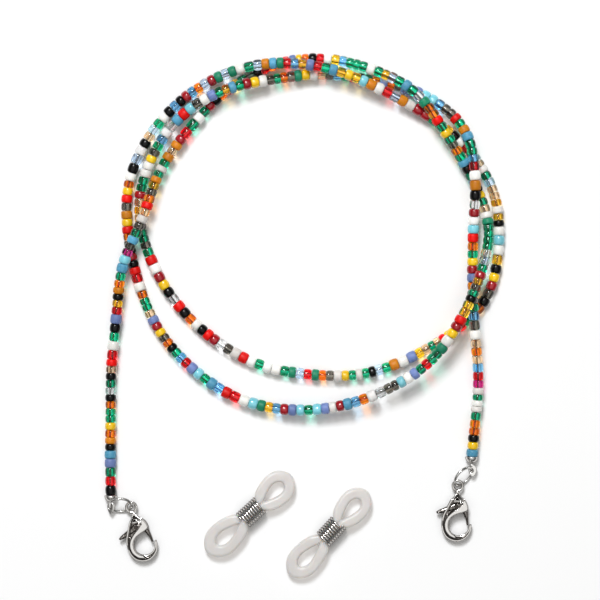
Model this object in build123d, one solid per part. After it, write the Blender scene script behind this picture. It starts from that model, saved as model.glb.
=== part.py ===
from build123d import *
import math
import os

# Eyeglass retainer strap: a strand of glass seed beads on a nylon thread, laid in
# two and a half loops, with a lobster clasp on a jump ring at each end and two
# silicone temple grips with steel coil sliders lying beside it.
# Millimetres, +Z up, the supporting surface is z = 0, the origin is the middle
# of the footprint.

os.makedirs("parts", exist_ok=True)

# ---- driving dimensions -------------------------------------------------
DX, DY = 0.027, -1.207        # shift that centres the footprint on the origin

THREAD_D = 0.45                # nylon thread
BEAD_BORE_D = 0.85             # hole through a bead
BEAD_GAP = 0.05                # play between two beads on the thread
FIRST_BEAD_AT = 0.78           # thread length before the first bead
ARC_SHARE = 0.45               # tangent length of each arc as a share of the shorter run

CUP_R, CUP_WALL = 1.25, 0.20   # bead tip cup
LOOP_R, LOOP_WIRE_R = 0.95, 0.24

RING_R, RING_WIRE_R = 2.15, 0.28   # jump ring
EYE_R, EYE_WIRE_R = 0.98, 0.27     # clasp eye
CLASP_T = 2.60                 # clasp body thickness
SLOT_LOW, SLOT_HIGH = 0.80, 1.90   # slot for the trigger, above the lower face
TRIGGER_T = 1.00
PIVOT = (-0.35, -4.10)         # trigger pivot in the clasp's own frame
PIN_R = 0.32
HOOK_BORE_R = 2.05             # round inside of the hook
HOOK_CENTRE = (0.20, -7.90)

GRIP_HALF = 11.80              # temple grip, half its length
GRIP_T = 1.90
GRIP_DROOP = 5.0               # degrees that each loop hangs below the coil's axis
COIL_OD, COIL_WIRE = 4.06, 0.50
COIL_TURNS, COIL_PITCH = 9, 0.545

# bead groups: key -> (node, outer diameter)
GROUPS = {
    "K": ("beads_black_gloss", 2.20),
    "W": ("beads_white_gloss", 2.32),
    "Y": ("beads_yellow_gloss", 2.20),
    "R": ("beads_dark_red_gloss", 2.30),
    "T": ("beads_turquoise_gloss", 2.36),
    "o": ("beads_orange_clear", 2.14),
    "g": ("beads_teal_clear", 2.10),
    "r": ("beads_red_clear", 2.18),
    "k": ("beads_smoke_clear", 2.14),
    "b": ("beads_aqua_clear", 2.18),
    "a": ("beads_amber_clear", 2.14),
    "p": ("beads_champagne_clear", 2.12),
    "c": ("beads_crystal_clear", 2.16),
    "v": ("beads_ice_blue_clear", 2.22),
    "m": ("beads_magenta_clear", 2.16),
    "F": ("beads_red_frosted", 2.30),
    "S": ("beads_sky_frosted", 2.34),
    "P": ("beads_periwinkle_frosted", 2.30),
    "A": ("beads_amber_frosted", 2.24),
    "G": ("beads_green_frosted", 2.26),
    "H": ("beads_pearl_frosted", 2.28),
}

BOXES = []                     # every solid, for the footprint's printout

# the strand's route from the left end to the right end
ROUTE = [
    (-38.86, -35.30, 1.30), (-38.98, -29.55, 1.34), (-38.91, -19.21, 1.38), (-38.86, -8.85, 1.74), (-37.68, 1.46, 2.10),
    (-36.76, 11.57, 3.62), (-32.16, 21.02, 4.01), (-29.35, 30.49, 2.22), (-23.26, 38.87, 1.99), (-16.35, 46.46, 1.23),
    (-7.24, 51.76, 1.23), (3.06, 53.34, 2.06), (13.04, 51.09, 3.04), (22.29, 46.55, 4.34), (28.32, 37.52, 4.06),
    (33.50, 29.33, 1.37), (37.36, 19.35, 2.68), (35.15, 9.71, 5.21), (31.25, 0.81, 6.21), (25.22, -8.02, 4.84),
    (16.34, -13.52, 4.41), (6.68, -16.94, 3.36), (-3.66, -17.67, 2.51), (-13.80, -15.36, 1.83), (-22.47, -9.60, 1.48),
    (-29.50, -1.79, 1.33), (-33.47, 7.68, 1.23), (-35.68, 17.83, 1.23), (-35.76, 28.22, 1.45), (-31.21, 37.92, 1.55),
    (-24.19, 45.43, 2.04), (-15.01, 50.49, 2.96), (-5.21, 52.24, 4.10), (5.63, 50.82, 4.16), (15.00, 46.87, 3.66),
    (23.89, 42.02, 1.66), (32.18, 35.86, 1.23), (38.17, 26.72, 1.45), (39.15, 16.91, 1.28), (37.46, 5.58, 1.23),
    (30.29, -1.78, 1.23), (21.12, -7.16, 1.47), (11.54, -10.65, 1.58), (0.98, -10.52, 1.60), (-9.18, -8.75, 1.48),
    (-18.30, -3.63, 1.38), (-25.85, 3.58, 1.31), (-31.08, 12.43, 1.35), (-33.87, 22.72, 1.23), (-31.18, 32.86, 2.25),
    (-25.26, 41.50, 2.58), (-16.45, 46.78, 4.28), (-6.01, 48.85, 2.47), (3.72, 50.07, 1.67), (14.34, 48.54, 1.23),
    (24.18, 45.95, 1.68), (32.55, 39.08, 3.14), (34.20, 28.82, 4.70), (33.52, 18.83, 3.41), (33.45, 8.19, 2.49),
    (33.67, -0.34, 4.34), (34.95, -11.82, 1.90), (33.81, -21.57, 2.10), (33.37, -27.50, 1.30),
]

# the bead colours in stringing order, from the left end
ORDER = (
    "KrgPSKAoYggoKcgKpFrWgKPraKAogSTmkSgkHpFokaAgHgApARrgWgRKoRagkKroorPYoKrWabgggWgavg"
    "SgcGooFgYgkogSKgbKYgpWGggggcvgRakgKaaFRYWGggrgPWTkkcHobSRHPTgTPRbaGTWrFbSgTPrbgKok"
    "YRPpggoWrFKRKkoFYAkFYoWKvHKpvgWKbKRbovRGvGWgvASGrbaPrgSaYaTAWrvAHRRgkaKWrgvpHgvppa"
    "HaKWTWaKYRkKobgrWYrpgpaPWAgvKgHgYHkoGrvGgWWgWFHkcRFKWoKFcKYRWFgkggKpapRggHWYkgbHcS"
    "FTkWPgaSgRYWkgokGYHpkbgrKGoPokPPPTTbkkFgASggbrWAKcRWTFogYRPoKkgbkWpopbrmHgWHgooKYS"
)

# stringing pitch of each bead
PITCH = [
    1.99, 1.84, 1.74, 1.80, 1.63, 1.33, 1.30, 1.48, 1.53, 1.43, 1.40, 1.43, 1.37, 1.39, 1.50, 1.43, 1.30, 1.43, 1.78, 1.90,
    1.73, 1.78, 1.88, 1.54, 1.32, 1.33, 1.33, 1.40, 1.55, 1.83, 1.73, 1.33, 1.28, 1.53, 1.52, 1.49, 1.50, 1.43, 1.45, 1.43,
    1.40, 1.35, 1.28, 1.20, 1.20, 1.39, 1.52, 1.40, 1.40, 1.53, 1.95, 2.10, 1.78, 1.60, 1.68, 1.65, 1.62, 1.62, 1.70, 1.75,
    1.68, 1.63, 1.60, 1.50, 1.48, 1.48, 1.33, 1.19, 1.39, 1.54, 1.50, 1.58, 1.53, 1.48, 1.43, 1.30, 1.53, 1.73, 1.57, 1.44,
    1.54, 1.65, 1.60, 1.63, 1.65, 1.60, 1.50, 1.43, 1.53, 1.59, 1.49, 1.32, 1.30, 1.45, 1.48, 1.43, 1.48, 1.48, 1.48, 1.45,
    1.42, 1.47, 1.44, 1.33, 1.25, 1.28, 1.28, 1.28, 1.38, 1.60, 1.60, 1.49, 1.44, 1.29, 1.23, 1.20, 1.30, 1.53, 1.68, 1.65,
    1.48, 1.65, 1.99, 1.67, 1.34, 1.45, 1.50, 1.53, 1.55, 1.60, 1.55, 1.35, 1.53, 1.92, 1.84, 1.67, 1.73, 1.65, 1.50, 1.45,
    1.60, 1.73, 1.65, 1.63, 1.63, 1.59, 1.54, 1.53, 1.58, 1.80, 2.03, 1.95, 1.80, 1.75, 1.70, 1.60, 1.69, 1.74, 1.53, 1.35,
    1.33, 1.33, 1.23, 1.25, 1.40, 1.45, 1.48, 1.44, 1.34, 1.30, 1.50, 1.78, 1.68, 1.48, 1.40, 1.38, 1.38, 1.35, 1.37, 1.44,
    1.53, 1.60, 1.60, 1.58, 1.48, 1.38, 1.63, 1.98, 1.98, 1.74, 1.62, 1.60, 1.60, 1.60, 1.60, 1.63, 1.58, 1.48, 1.48, 1.48,
    1.47, 1.52, 1.55, 1.53, 1.45, 1.55, 1.83, 1.85, 1.63, 1.53, 1.50, 1.39, 1.44, 1.54, 1.53, 1.53, 1.58, 1.60, 1.63, 1.65,
    1.60, 1.55, 1.62, 1.77, 1.79, 1.78, 1.78, 1.75, 1.83, 1.90, 1.90, 1.85, 1.75, 1.72, 1.74, 1.72, 1.60, 1.40, 1.28, 1.25,
    1.33, 1.48, 1.50, 1.43, 1.42, 1.44, 1.44, 1.33, 1.33, 1.73, 1.98, 2.00, 1.93, 1.75, 1.75, 1.74, 1.72, 1.77, 1.75, 1.70,
    1.65, 1.60, 1.53, 1.43, 1.35, 1.30, 1.32, 1.39, 1.59, 1.90, 2.00, 1.83, 1.58, 1.43, 1.38, 1.35, 1.33, 1.35, 1.49, 1.59,
    1.53, 1.43, 1.48, 1.60, 1.58, 1.45, 1.63, 1.88, 1.75, 1.64, 1.72, 1.80, 1.80, 1.68, 1.63, 1.63, 1.58, 1.55, 1.58, 1.63,
    1.74, 1.79, 1.75, 1.73, 1.75, 1.88, 1.93, 1.83, 1.60, 1.35, 1.25, 1.32, 1.52, 1.63, 1.55, 1.55, 1.53, 1.43, 1.48, 1.60,
    1.55, 1.45, 1.44, 1.49, 1.58, 1.63, 1.70, 1.73, 1.73, 1.73, 1.70, 1.75, 1.68, 1.44, 1.37, 1.43, 1.48, 1.55, 1.68, 1.65,
    1.45, 1.35, 1.40, 1.43, 1.44, 1.59, 1.67, 1.55, 1.55, 1.63, 1.58, 1.55, 1.55, 1.55, 1.60, 1.62, 1.47, 1.34, 1.33, 1.35,
    1.63, 1.78, 1.65, 1.58, 1.48, 1.35, 1.34, 1.39, 1.52, 1.65, 1.58, 1.45, 1.48, 1.70, 1.95, 2.03, 1.93, 1.74, 1.59, 1.62,
    1.73, 1.75, 1.65, 1.50, 1.53, 1.63, 1.68, 1.60, 1.44, 1.42, 1.54, 1.75, 1.90, 1.90, 1.68, 1.53, 1.63, 1.75, 1.73, 1.49,
    1.34, 1.23, 1.20, 1.21, 1.53, 1.55, 1.43, 1.43, 1.50, 1.50,
]


def at(x, y, z=0.0):
    return Vector(x + DX, y + DY, z)


def turn(x, y, deg):
    c, s = math.cos(math.radians(deg)), math.sin(math.radians(deg))
    return (c * x - s * y, s * x + c * y)


# ---- thread ---------------------------------------------------------------
pts = [at(*p) for p in ROUTE]
radii = []
for i in range(1, len(pts) - 1):
    u, v = pts[i - 1] - pts[i], pts[i + 1] - pts[i]
    half_turn = math.radians((180.0 - u.get_angle(v)) / 2)
    radii.append(ARC_SHARE * min(u.length, v.length) / math.tan(half_turn))
print("route radii mm:", " ".join(f"{r:.1f}" for r in radii))
print("tightest radius", round(min(radii), 2), "runs", round(min((pts[i + 1] - pts[i]).length for i in range(len(pts) - 1)), 2), "to", round(max((pts[i + 1] - pts[i]).length for i in range(len(pts) - 1)), 2))
route = FilletPolyline(*pts, radius=radii)
path = route if isinstance(route, Wire) else Wire(route.edges())
length = path.length
section = Plane(origin=path.position_at(0), z_dir=path.tangent_at(0)) * Circle(THREAD_D / 2)
thread = sweep(section, path=path)
print("strand length", round(length, 2), "tube volume", round(thread.volume, 3), "section x length", round(math.pi * THREAD_D**2 / 4 * length, 3))
export_step(Compound([thread.solid()]), "parts/thread.step")


# ---- beads ----------------------------------------------------------------
def bead_size(i, key):
    """Outer diameter of bead i: its group's size with the uneven spread of real seed beads."""
    wob = math.sin(i * 12.9898 + 4.1) * 43758.5453
    wob = wob - math.floor(wob)
    return min(GROUPS[key][1] + 0.16 * (wob - 0.5), 2.42)


def bead_solid(od, long):
    r, h, b = od / 2, long / 2, BEAD_BORE_D / 2
    c = min(0.36 * long, 0.42)
    k = c * 0.30
    with BuildSketch(Plane.XZ) as sk:
        with BuildLine():
            l1 = Line((b, -h + 0.12), (b, h - 0.12))
            l2 = ThreePointArc((b, h - 0.12), (b + 0.035, h - 0.035), (b + 0.12, h))
            l3 = Line((b + 0.12, h), (r - c, h))
            l4 = ThreePointArc((r - c, h), (r - k, h - k), (r, h - c))
            l5 = Line((r, h - c), (r, -h + c))
            l6 = ThreePointArc((r, -h + c), (r - k, -h + k), (r - c, -h))
            l7 = Line((r - c, -h), (b + 0.12, -h))
            l8 = ThreePointArc((b + 0.12, -h), (b + 0.035, -h + 0.035), (b, -h + 0.12))
        make_face()
    return revolve(sk.sketch, Axis.Z).solid()


groups = {key: [] for key in GROUPS}
s = FIRST_BEAD_AT
for i, (key, pitch) in enumerate(zip(ORDER, PITCH)):
    middle = s + pitch / 2
    s += pitch
    origin = path.position_at(middle / length)
    tangent = path.tangent_at(middle / length)
    od = bead_size(i, key)
    side = tangent.cross(Vector(0, 0, 1))
    frame = Plane(origin=origin, x_dir=side, z_dir=tangent)
    groups[key].append(frame.location * bead_solid(od, pitch - BEAD_GAP))
print("beads", len(ORDER), len(PITCH), "strung to", round(s, 2), "of", round(length, 2))
for key, solids in groups.items():
    BOXES.extend(solids)
    export_step(Compound(solids), f"parts/{GROUPS[key][0]}.step")


# ---- ends: bead tip, crimp, jump ring, clasp --------------------------------
def ring_frame(eye, heading_deg, tilt_deg, low_deg, upper_side):
    """Centre and plane of a jump ring that passes through the clasp's eye and the tip's loop."""
    a = Vector(math.cos(math.radians(heading_deg)), math.sin(math.radians(heading_deg)), 0)
    n = Vector(-a.Y, a.X, 0) * upper_side
    t = math.radians(tilt_deg)
    b = n * math.cos(t) + Vector(0, 0, math.sin(t))
    p = math.radians(low_deg)
    centre = eye - a * (RING_R * math.cos(p)) + b * (RING_R * math.sin(p))
    hook = centre - a * (RING_R * math.cos(p)) - b * (RING_R * math.sin(p))
    tangent = a * math.sin(p) - b * math.cos(p)
    return centre, a, b, hook, tangent


def clasp_local():
    """Clasp body, trigger, pin and leaf spring; the eye's centre is the origin, the hook points to -Y."""
    with BuildSketch() as sk:
        with BuildLine():
            Spline((-0.32, -1.20), (-0.62, -1.95), (-1.45, -2.90), (-2.30, -4.50), (-3.00, -5.90), (-3.30, -7.60), (-3.10, -9.10), (-2.45, -10.25), (-1.38, -10.95), (-0.15, -11.16), (1.07, -10.84), (2.14, -9.95), (2.68, -8.80), (2.76, -7.75))
            Line((2.76, -7.75), (2.25, -7.75))
            Line((2.25, -7.75), (HOOK_CENTRE[0] + HOOK_BORE_R, HOOK_CENTRE[1]))
            ThreePointArc((HOOK_CENTRE[0] + HOOK_BORE_R, HOOK_CENTRE[1]), (HOOK_CENTRE[0], HOOK_CENTRE[1] - HOOK_BORE_R), (HOOK_CENTRE[0] - HOOK_BORE_R, HOOK_CENTRE[1]))
            Spline((HOOK_CENTRE[0] - HOOK_BORE_R, HOOK_CENTRE[1]), (-1.72, -7.05), (-1.15, -6.25), (-0.20, -5.75), (1.35, -5.30))
            Line((1.35, -5.30), (2.10, -4.95))
            Spline((2.10, -4.95), (2.02, -3.95), (1.55, -2.90), (0.70, -2.05), (0.32, -1.20))
            Line((0.32, -1.20), (-0.32, -1.20))
        make_face()
    body = extrude(sk.sketch, CLASP_T)
    slot = Polyline((-6.0, -2.6), (-2.0, -2.75), (-0.6, -2.85), (0.9, -2.95), (2.4, -3.4), (3.4, -5.0), (3.4, -7.2), (0.9, -7.2), (-0.4, -6.6), (-1.6, -6.1), (-2.4, -6.25), (-6.0, -6.6), close=True)
    body -= Pos(0, 0, SLOT_LOW) * extrude(make_face(slot), SLOT_HIGH - SLOT_LOW)
    body -= Pos(PIVOT[0], PIVOT[1], CLASP_T / 2) * Cylinder(PIN_R + 0.01, CLASP_T + 1)
    eye = Pos(0, 0, CLASP_T / 2) * Torus(EYE_R, EYE_WIRE_R)
    neck = Pos(0, -1.33, CLASP_T / 2) * Box(0.64, 0.42, 0.54)
    body = body + neck + eye
    lever = Polyline((-0.60, -3.45), (-2.20, -4.15), (-3.85, -4.85), (-4.35, -5.20), (-4.22, -5.58), (-3.60, -5.55), (-2.00, -5.20), (-0.50, -4.85), (0.45, -4.95), (1.15, -5.70), (1.62, -6.90), (1.72, -7.92), (2.12, -7.92), (2.14, -6.60), (1.95, -5.00), (1.30, -3.80), (0.40, -3.45), close=True)
    trig = Pos(0, 0, (SLOT_LOW + SLOT_HIGH - TRIGGER_T) / 2) * extrude(make_face(lever), TRIGGER_T)
    trig -= Pos(PIVOT[0], PIVOT[1], CLASP_T / 2) * Cylinder(PIN_R + 0.05, CLASP_T + 1)
    pin = Pos(PIVOT[0], PIVOT[1], CLASP_T / 2) * Cylinder(PIN_R, CLASP_T - 0.04)
    leaf = Polyline((0.70, -3.05), (0.70, -3.17), (-1.02, -3.06), (-1.40, -3.24), (-1.62, -3.74), (-1.74, -3.70), (-1.50, -3.15), (-1.04, -2.93), close=True)
    spring = Pos(0, 0, SLOT_LOW + 0.15) * extrude(make_face(leaf), 0.80)
    return body, trig, pin, spring


body_l, trig_l, pin_l, leaf_l = clasp_local()

# side: thread end, cup mouth, mouth to loop, ring heading, ring tilt, low angle, raised side,
# play of the ring in the eye, clasp turn
ENDS = {
    "left": (ROUTE[0], -34.62, 2.40, 1.5, 50.0, 22.0, 1.0, 0.10, 18.2),
    "right": (ROUTE[-1], -26.83, 2.76, 227.0, 55.0, 24.0, -1.0, 0.15, 0.0),
}
for side, (end, mouth, to_loop, heading, tilt, low, upper, play, clasp_turn) in ENDS.items():
    zc = end[2]
    cup_at = at(end[0], mouth, zc)
    loop_at = at(end[0], mouth - to_loop, zc + 0.05)
    # the ring's hook point is the loop's centre, and its other pass is inside the clasp's eye
    a = Vector(math.cos(math.radians(heading)), math.sin(math.radians(heading)), 0)
    pass_at = loop_at + a * (2 * RING_R * math.cos(math.radians(low)))
    eye_at = pass_at + a * play
    centre, a, b, hook, tangent = ring_frame(pass_at, heading, tilt, low, upper)
    ring_plane = Plane(origin=centre, x_dir=a, z_dir=a.cross(b))
    ring = ring_plane.location * Torus(RING_R, RING_WIRE_R)
    lowest = ring.bounding_box().min.Z
    # cup: a round shell open towards the beads, with a loop below it
    shell = Sphere(CUP_R) - Sphere(CUP_R - CUP_WALL)
    shell -= Pos(0, CUP_R + 0.0, 0) * Box(4, 2 * CUP_R, 4)
    shell = Pos(cup_at.X, cup_at.Y, cup_at.Z) * shell
    flat = Vector(tangent.X, 0, tangent.Z).normalized()
    loop_plane = Plane(origin=loop_at, x_dir=Vector(0, 1, 0), z_dir=flat)
    loop = loop_plane.location * Torus(LOOP_R, LOOP_WIRE_R)
    neck_y = mouth - CUP_R + 0.03 - (to_loop - 2.40) / 2
    neck = Pos(cup_at.X, neck_y + DY, cup_at.Z) * Box(0.70, 0.26 + to_loop - 2.40, 0.42)
    tip = shell + neck + loop
    # crimp: a short sleeve on the thread's end inside the cup
    crimp = Pos(end[0] + DX, end[1] + DY + 0.22, zc) * (Rot(90, 0, 0) * (Cylinder(0.52, 0.50) - Cylinder(THREAD_D / 2 + 0.02, 0.60)))
    crimp = Pos(0, 0.02, 0) * crimp
    export_step(Compound([tip.solid()]), f"parts/bead_tip_{side}.step")
    export_step(Compound([crimp.solid()]), f"parts/crimp_{side}.step")
    export_step(Compound([ring.solid()]), f"parts/jump_ring_{side}.step")
    put = Pos(eye_at.X, eye_at.Y, eye_at.Z - CLASP_T / 2) * Rot(0, 0, clasp_turn)
    for name, solid in (("clasp_body", body_l), ("clasp_trigger", trig_l), ("trigger_pin", pin_l), ("trigger_spring", leaf_l)):
        export_step(Compound([(put * solid).solid()]), f"parts/{name}_{side}.step")
    px, py = turn(PIVOT[0], PIVOT[1], clasp_turn)
    hx, hy = turn(HOOK_CENTRE[0], HOOK_CENTRE[1], clasp_turn)
    print(side, "loop", [round(c, 3) for c in loop_at.to_tuple()], "eye", [round(c, 3) for c in eye_at.to_tuple()], "pivot", round(eye_at.X + px, 3), round(eye_at.Y + py, 3), "hook centre", round(eye_at.X + hx, 3), round(eye_at.Y + hy, 3), round(eye_at.Z, 3), "ring lowest", round(lowest, 3), "tips solids", len(tip.solids()), "body solids", len(body_l.solids()))


# ---- temple grips ---------------------------------------------------------
def grip_half(width_r):
    """One loop of a grip, from its middle towards +X, flat, centred on z = 0."""
    c = GRIP_HALF - width_r
    reach = 3.2
    top = 1.18
    d = c - reach
    ang = math.atan2(top, -d)
    base = math.hypot(d, top)
    th = ang - math.acos(width_r / base)
    tx, ty = c + width_r * math.cos(th), width_r * math.sin(th)
    outer = Pos(c, 0) * Circle(width_r) + make_face(Polyline((reach, top), (tx, ty), (tx, -ty), (reach, -top), close=True))
    outer += make_face(Polyline((0, -top), (0, top), (reach + 0.01, top), (reach + 0.01, -top), close=True))
    hole_r = width_r - 2.0
    hc = c + 0.25
    apex = reach + 1.25
    dd = hc - apex
    th2 = math.pi - math.acos(hole_r / dd)
    hx, hy = hc + hole_r * math.cos(th2), hole_r * math.sin(th2)
    hole = Pos(hc, 0) * Circle(hole_r) + make_face(Polyline((apex, 0.0), (hx, hy), (hx, -hy), close=True))
    return outer - hole


def grip(width_r):
    halves = []
    for flip in (0, 180):
        solid = Pos(0, 0, -GRIP_T / 2) * extrude(grip_half(width_r), GRIP_T)
        solid = Pos(0, 0, 0) * solid
        # only the loop hangs; the middle stays in line with the coil
        loop = solid & (Pos(3.0 + 10, 0, 0) * Box(20, 20, 10))
        loop = Pos(3.0, 0, 0) * (Rot(0, GRIP_DROOP, 0) * (Pos(-3.0, 0, 0) * loop))
        halves.append(Rot(0, 0, flip) * loop)
    middle = Rot(0, 90, 0) * Cylinder(1.44, 6.3)
    middle = middle & Box(7, 2.36, 1.88)
    return halves[0] + halves[1] + middle


def coil():
    wire_r = COIL_WIRE / 2
    r = COIL_OD / 2 - wire_r
    height = (COIL_TURNS - 0.5) * COIL_PITCH
    helix = Helix(COIL_PITCH, height, r)
    start = Plane(origin=helix.position_at(0), z_dir=helix.tangent_at(0))
    spring = sweep(start * Circle(wire_r), path=helix, is_frenet=True)
    return Rot(0, 90, 0) * (Pos(0, 0, -height / 2) * spring)


GRIPS = {
    "left": ((-11.13, -38.29), 42.6, 0.60, 3.12),
    "right": ((4.73, -42.13), 47.4, 0.65, 2.95),
}
coil_l = coil()
for side, ((gx, gy), deg, along, width_r) in GRIPS.items():
    put = Pos(gx + DX, gy + DY, COIL_OD / 2) * Rot(0, 0, deg)
    g = put * grip(width_r)
    c = put * (Pos(along, 0, 0) * coil_l)
    BOXES.extend([g, c])
    export_step(Compound([g.solid()]), f"parts/temple_grip_{side}.step")
    export_step(Compound([c.solid()]), f"parts/coil_slider_{side}.step")
    gb, cb = g.bounding_box(), c.bounding_box()
    print(side, "grip solids", len(g.solids()), "z", round(gb.min.Z, 3), round(gb.max.Z, 3), "coil z", round(cb.min.Z, 3), round(cb.max.Z, 3), "coil volume", round(coil_l.volume, 2), "theory", round(math.pi * (COIL_WIRE / 2) ** 2 * (COIL_TURNS - 0.5) * math.hypot(math.pi * (COIL_OD - COIL_WIRE), COIL_PITCH), 2))

lows, highs = [], []
for solid in BOXES:
    bb = solid.bounding_box()
    lows.append(bb.min)
    highs.append(bb.max)
low = [min(v.X for v in lows), min(v.Y for v in lows), min(v.Z for v in lows)]
high = [max(v.X for v in highs), max(v.Y for v in highs), max(v.Z for v in highs)]
print("low", [round(v, 4) for v in low], "high", [round(v, 4) for v in high], "centre", round((low[0] + high[0]) / 2, 4), round((low[1] + high[1]) / 2, 4))
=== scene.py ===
import bpy
import math
import random
import numpy as np
from mathutils import Vector, Matrix


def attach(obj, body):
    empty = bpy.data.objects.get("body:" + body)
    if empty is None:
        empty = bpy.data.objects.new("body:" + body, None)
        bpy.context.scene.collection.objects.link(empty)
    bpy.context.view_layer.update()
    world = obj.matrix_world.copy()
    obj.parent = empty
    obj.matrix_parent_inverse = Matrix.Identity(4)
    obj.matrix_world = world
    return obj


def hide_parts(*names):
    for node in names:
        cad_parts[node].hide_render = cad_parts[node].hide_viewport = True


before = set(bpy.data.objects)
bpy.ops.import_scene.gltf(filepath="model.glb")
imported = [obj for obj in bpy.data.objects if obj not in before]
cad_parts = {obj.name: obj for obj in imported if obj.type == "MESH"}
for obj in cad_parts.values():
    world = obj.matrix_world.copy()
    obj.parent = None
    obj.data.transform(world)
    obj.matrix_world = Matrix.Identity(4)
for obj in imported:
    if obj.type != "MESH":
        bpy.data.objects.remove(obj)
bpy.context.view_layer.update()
scene = bpy.context.scene
MM = 0.001
DX, DY = 0.027, -1.207
random.seed(7)
RNG = np.random.default_rng(7)

# ---------------------------------------------------------------- camera
cam_data = bpy.data.cameras.new("camera")
cam = bpy.data.objects.new("camera", cam_data)
scene.collection.objects.link(cam)
CAM_X, CAM_Y, CAM_Z = (-1.0 + DX) * MM, (4.6 + DY) * MM, 0.602
cam.location = (CAM_X, CAM_Y, CAM_Z)
cam.rotation_euler = (0, 0, 0)
cam_data.sensor_width = 36.0
cam_data.lens = 36.0 * 0.600 / 0.120
cam_data.clip_start = 0.01
cam_data.clip_end = 20
scene.camera = cam

# ---------------------------------------------------------------- the strand's route (millimetres, as in the CAD)
ROUTE = [
    (-38.86, -35.30, 1.30), (-38.98, -29.55, 1.34), (-38.91, -19.21, 1.38), (-38.86, -8.85, 1.74), (-37.68, 1.46, 2.10),
    (-36.76, 11.57, 3.62), (-32.16, 21.02, 4.01), (-29.35, 30.49, 2.22), (-23.26, 38.87, 1.99), (-16.35, 46.46, 1.23),
    (-7.24, 51.76, 1.23), (3.06, 53.34, 2.06), (13.04, 51.09, 3.04), (22.29, 46.55, 4.34), (28.32, 37.52, 4.06),
    (33.50, 29.33, 1.37), (37.36, 19.35, 2.68), (35.15, 9.71, 5.21), (31.25, 0.81, 6.21), (25.22, -8.02, 4.84),
    (16.34, -13.52, 4.41), (6.68, -16.94, 3.36), (-3.66, -17.67, 2.51), (-13.80, -15.36, 1.83), (-22.47, -9.60, 1.48),
    (-29.50, -1.79, 1.33), (-33.47, 7.68, 1.23), (-35.68, 17.83, 1.23), (-35.76, 28.22, 1.45), (-31.21, 37.92, 1.55),
    (-24.19, 45.43, 2.04), (-15.01, 50.49, 2.96), (-5.21, 52.24, 4.10), (5.63, 50.82, 4.16), (15.00, 46.87, 3.66),
    (23.89, 42.02, 1.66), (32.18, 35.86, 1.23), (38.17, 26.72, 1.45), (39.15, 16.91, 1.28), (37.46, 5.58, 1.23),
    (30.29, -1.78, 1.23), (21.12, -7.16, 1.47), (11.54, -10.65, 1.58), (0.98, -10.52, 1.60), (-9.18, -8.75, 1.48),
    (-18.30, -3.63, 1.38), (-25.85, 3.58, 1.31), (-31.08, 12.43, 1.35), (-33.87, 22.72, 1.23), (-31.18, 32.86, 2.25),
    (-25.26, 41.50, 2.58), (-16.45, 46.78, 4.28), (-6.01, 48.85, 2.47), (3.72, 50.07, 1.67), (14.34, 48.54, 1.23),
    (24.18, 45.95, 1.68), (32.55, 39.08, 3.14), (34.20, 28.82, 4.70), (33.52, 18.83, 3.41), (33.45, 8.19, 2.49),
    (33.67, -0.34, 4.34), (34.95, -11.82, 1.90), (33.81, -21.57, 2.10), (33.37, -27.50, 1.30),
]
ORDER = (
    "KrgPSKAoYggoKcgKpFrWgKPraKAogSTmkSgkHpFokaAgHgApARrgWgRKoRagkKroorPYoKrWabgggWgavg"
    "SgcGooFgYgkogSKgbKYgpWGggggcvgRakgKaaFRYWGggrgPWTkkcHobSRHPTgTPRbaGTWrFbSgTPrbgKok"
    "YRPpggoWrFKRKkoFYAkFYoWKvHKpvgWKbKRbovRGvGWgvASGrbaPrgSaYaTAWrvAHRRgkaKWrgvpHgvppa"
    "HaKWTWaKYRkKobgrWYrpgpaPWAgvKgHgYHkoGrvGgWWgWFHkcRFKWoKFcKYRWFgkggKpapRggHWYkgbHcS"
    "FTkWPgaSgRYWkgokGYHpkbgrKGoPokPPPTTbkkFgASggbrWAKcRWTFogYRPoKkgbkWpopbrmHgWHgooKYS"
)
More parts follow.
